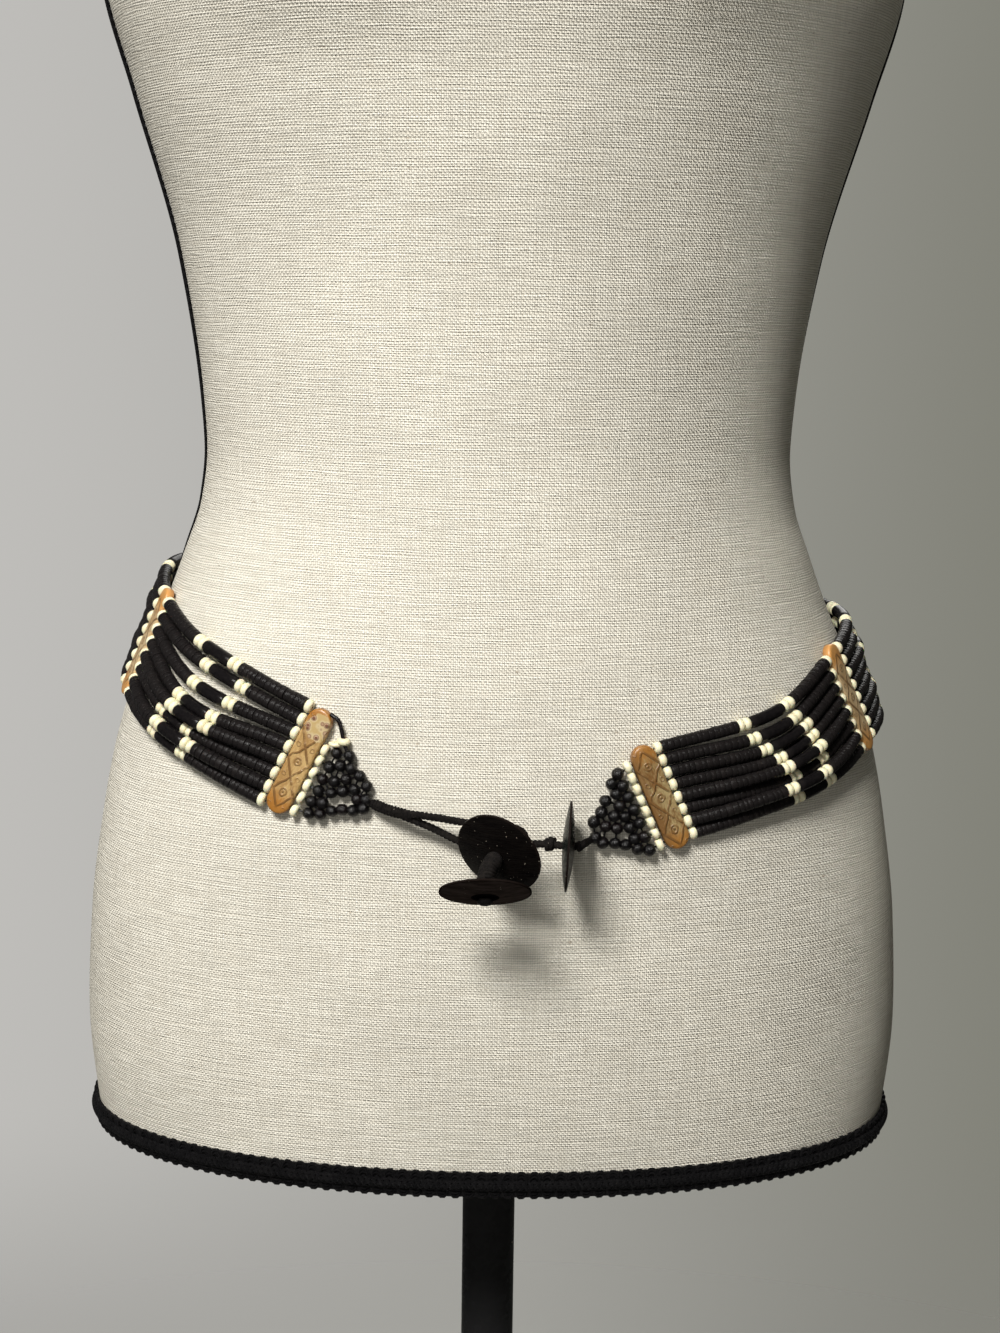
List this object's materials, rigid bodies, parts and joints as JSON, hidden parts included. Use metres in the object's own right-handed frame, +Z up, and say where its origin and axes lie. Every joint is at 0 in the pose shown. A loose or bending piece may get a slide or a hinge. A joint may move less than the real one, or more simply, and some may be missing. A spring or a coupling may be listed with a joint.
{
  "type": "beaded belt on a dress form",
  "caption": "Wide hip belt of black and cream bead strings with bone spacer bars, bead nets and a cord toggle, worn by a linen-covered dress form on a stand.",
  "frame": {"origin": "centre of the stand's round base, on the floor", "axes": "+Z up, -Y towards the front of the form, +X towards the right of a front view"},
  "size_m": [0.3326, 0.32, 1.5553],
  "materials": {
    "linen": "slubby plain weave",
    "braid": "black scroll braid",
    "stand_metal": "gloss black",
    "bone": "polished amber bone, engraved",
    "disc_bead": "dyed shell discs, satin",
    "cream_bead": "satin cream",
    "net_bead": "gloss black",
    "cord": "waxed twist, matt",
    "disc": "polished black horn"
  },
  "bodies": {
    "root": {"torso": "linen", "neck_cap": "stand_metal", "hem_braid": "braid", "seam_braid_left": "braid", "seam_braid_right": "braid", "collar": "stand_metal", "pole": "stand_metal", "base": "stand_metal", "bar_1": "bone", "bar_2": "bone", "bar_3": "bone", "bar_4": "bone", "bar_5": "bone", "bar_6": "bone", "bar_7": "bone", "bar_8": "bone", "string_left_1": "disc_bead", "string_left_2": "disc_bead", "string_left_3": "disc_bead", "string_left_4": "disc_bead", "string_left_5": "disc_bead", "string_left_6": "disc_bead", "string_left_7": "disc_bead", "string_left_8": "disc_bead", "string_back_1": "disc_bead", "string_back_2": "disc_bead", "string_back_3": "disc_bead", "string_back_4": "disc_bead", "string_back_5": "disc_bead", "string_back_6": "disc_bead", "string_back_7": "disc_bead", "string_back_8": "disc_bead", "string_right_1": "disc_bead", "string_right_2": "disc_bead", "string_right_3": "disc_bead", "string_right_4": "disc_bead", "string_right_5": "disc_bead", "string_right_6": "disc_bead", "string_right_7": "disc_bead", "string_right_8": "disc_bead", "net_left": "net_bead", "net_right": "net_bead", "cream_row_left": "cream_bead", "cream_row_right": "cream_bead", "loop_cord": "cord", "toggle_cord": "cord", "toggle_stem": "cord", "end_knot": "cord", "disc_upper": "disc", "disc_lower": "disc", "disc_edge": "disc"}
  },
  "joints": []
}
